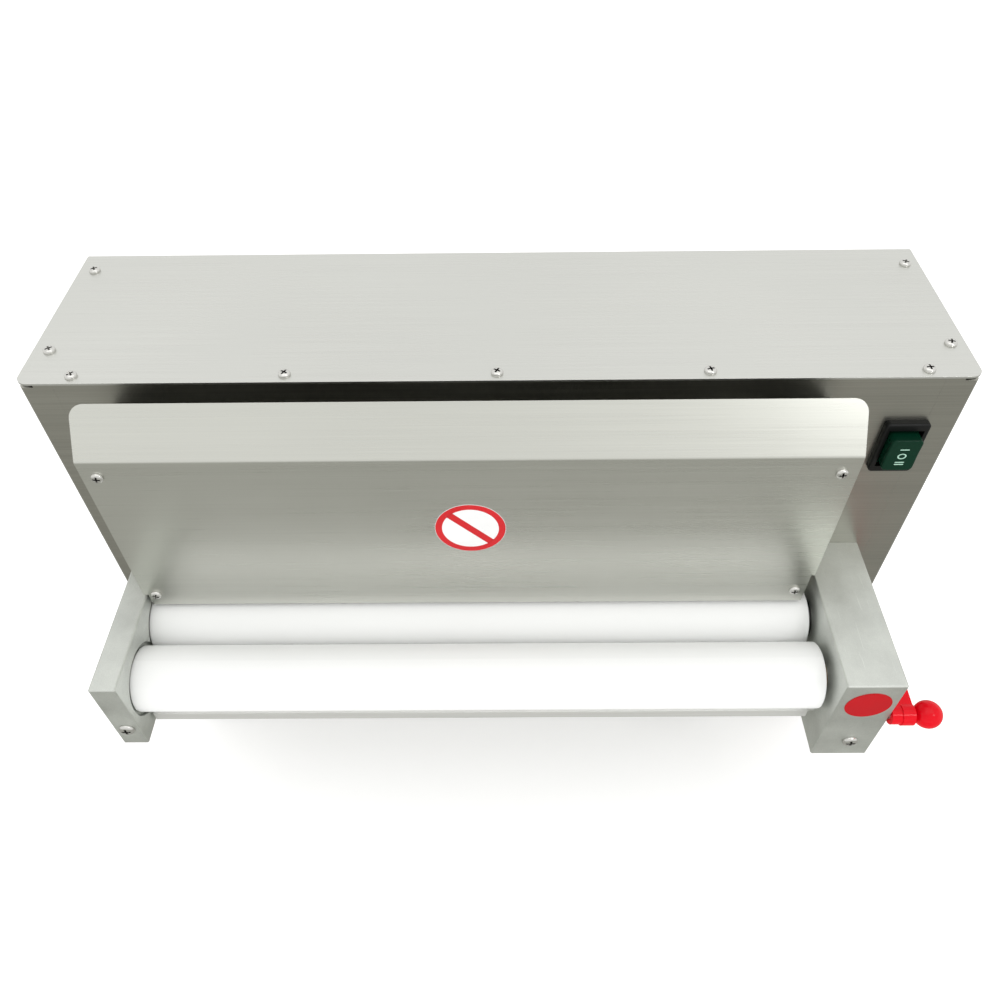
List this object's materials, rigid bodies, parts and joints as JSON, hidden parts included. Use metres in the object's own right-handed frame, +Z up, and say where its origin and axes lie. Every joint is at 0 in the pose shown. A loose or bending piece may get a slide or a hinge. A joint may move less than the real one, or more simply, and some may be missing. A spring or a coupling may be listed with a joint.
{
  "type": "dough sheeter",
  "caption": "Bench-top dough sheeter: steel casing with two arms holding a driven roller and an adjustable roller under an upright feed chute.",
  "frame": {"origin": "centre of the machine's overall footprint, on the table surface", "axes": "+X to the operator's right along the rollers, +Y away from the operator into the casing, +Z up"},
  "size_m": [0.6412, 0.2834, 0.4326],
  "materials": {
    "stainless_sheet": "fine horizontal brushed grain",
    "arm_aluminium": "matt machined",
    "roller_plastic": "white food-grade polyethylene, satin",
    "shaft_steel": "ground and polished",
    "gear_steel": "machined, oiled",
    "bronze": "sintered bronze",
    "screw_nickel": "bright nickel",
    "scraper_steel": "mill finish",
    "rubber_black": "moulded",
    "lever_red": "glossy moulded",
    "marker_red": "printed vinyl",
    "label_print": "printed vinyl",
    "switch_black": "moulded",
    "switch_green": "dark translucent",
    "inner_plastic": "moulded",
    "chain_steel": "oiled steel",
    "motor_grey": "grey enamel",
    "mount_steel": "zinc-plated steel",
    "cage_plastic": "moulded nylon",
    "wire_sleeve": "sleeved wire",
    "capacitor_can": "moulded"
  },
  "bodies": {
    "frame": {"casing_shell": "stainless_sheet", "top_rear_cover": "stainless_sheet", "cover_screws": "screw_nickel", "base_plate": "mount_steel", "rubber_feet": "rubber_black", "foot_screws": "screw_nickel", "left_arm": "arm_aluminium", "right_arm": "arm_aluminium", "gear_cover": "arm_aluminium", "gear_cover_screws": "screw_nickel", "arm_bolts": "screw_nickel", "arm_backing_plate": "mount_steel", "arm_front_screws": "screw_nickel", "marker_disc": "marker_red", "feed_chute": "stainless_sheet", "chute_brackets": "stainless_sheet", "chute_screws": "screw_nickel", "safety_label": "label_print", "switch_bezel": "switch_black", "switch_body": "switch_black", "front_roller_bushes": "bronze", "axle_bushes": "bronze", "drive_chain": "chain_steel", "motor_mount": "mount_steel", "gearbox_housing": "motor_grey", "motor_housing": "motor_grey", "motor_screws": "screw_nickel", "capacitor": "capacitor_can", "capacitor_clip": "mount_steel", "terminal_block": "inner_plastic", "cable_gland": "switch_black", "gland_nut": "switch_black", "internal_wiring": "wire_sleeve"},
    "front_roller": {"front_roller_sleeve": "roller_plastic", "front_roller_shaft": "shaft_steel", "front_gear": "gear_steel", "front_sprocket": "gear_steel", "retaining_rings": "chain_steel"},
    "rear_axle": {"eccentric_axle": "shaft_steel", "thickness_lever": "lever_red", "lever_screw": "screw_nickel", "bearing_inner_rings": "shaft_steel"},
    "rear_bearing": {"bearing_balls": "shaft_steel", "bearing_cages": "cage_plastic"},
    "rear_roller": {"rear_roller_sleeve": "roller_plastic", "rear_gear": "gear_steel", "bearing_outer_rings": "shaft_steel"},
    "index_plunger": {"plunger_pin": "shaft_steel", "plunger_knob": "lever_red", "plunger_spring": "chain_steel"},
    "rocker": {"switch_rocker": "switch_green"},
    "motor_output": {"motor_shaft": "shaft_steel", "motor_sprocket": "gear_steel"},
    "front_scraper": {"front_scraper": "scraper_steel"},
    "rear_scraper": {"rear_scraper": "scraper_steel"}
  },
  "joints": [
    {"name": "front_roller_spin", "type": "hinge", "parent": "frame", "child": "front_roller", "pos_m": [-0.0071, -0.10236, 0.225], "axis": [1, 0, 0], "continuous": true},
    {"name": "thickness_lever_turn", "type": "hinge", "parent": "frame", "child": "rear_axle", "pos_m": [-0.0071, -0.05136, 0.221], "axis": [1, 0, 0], "range_deg": [-40, 40]},
    {"name": "rear_bearing_level", "type": "hinge", "parent": "rear_axle", "child": "rear_bearing", "pos_m": [-0.0071, -0.05136, 0.225], "axis": [1, 0, 0], "range_deg": [-40, 40]},
    {"name": "rear_roller_spin", "type": "hinge", "parent": "rear_bearing", "child": "rear_roller", "pos_m": [-0.0071, -0.05136, 0.225], "axis": [1, 0, 0], "continuous": true},
    {"name": "motor_output_spin", "type": "hinge", "parent": "frame", "child": "motor_output", "pos_m": [-0.0071, 0.06372, 0.225], "axis": [1, 0, 0], "continuous": true},
    {"name": "index_plunger_pull", "type": "slide", "parent": "rear_axle", "child": "index_plunger", "axis": [1, 0, 0], "range_m": [0, 0.004], "stiffness_N_per_m": 300, "springref_m": -0.002, "deforming": ["plunger_spring"]},
    {"name": "switch_rocker_tilt", "type": "hinge", "parent": "frame", "child": "rocker", "pos_m": [0.2774, -0.00636, 0.3688], "axis": [1, 0, 0], "range_deg": [-11, 11]},
    {"name": "front_scraper_tilt", "type": "hinge", "parent": "frame", "child": "front_scraper", "pos_m": [-0.0071, -0.11136, 0.1945], "axis": [1, 0, 0], "range_deg": [0, 20], "stiffness_Nm_per_rad": 0.6, "springref_deg": -9.74},
    {"name": "rear_scraper_tilt", "type": "hinge", "parent": "frame", "child": "rear_scraper", "pos_m": [-0.0071, -0.04236, 0.192], "axis": [1, 0, 0], "range_deg": [-20, 0], "stiffness_Nm_per_rad": 0.6, "springref_deg": 9.74}
  ],
  "couplings": [
    {"joint": "rear_roller_spin", "follows": "front_roller_spin", "ratio": -1},
    {"joint": "motor_output_spin", "follows": "front_roller_spin", "ratio": 1},
    {"joint": "rear_bearing_level", "follows": "thickness_lever_turn", "ratio": -1}
  ]
}
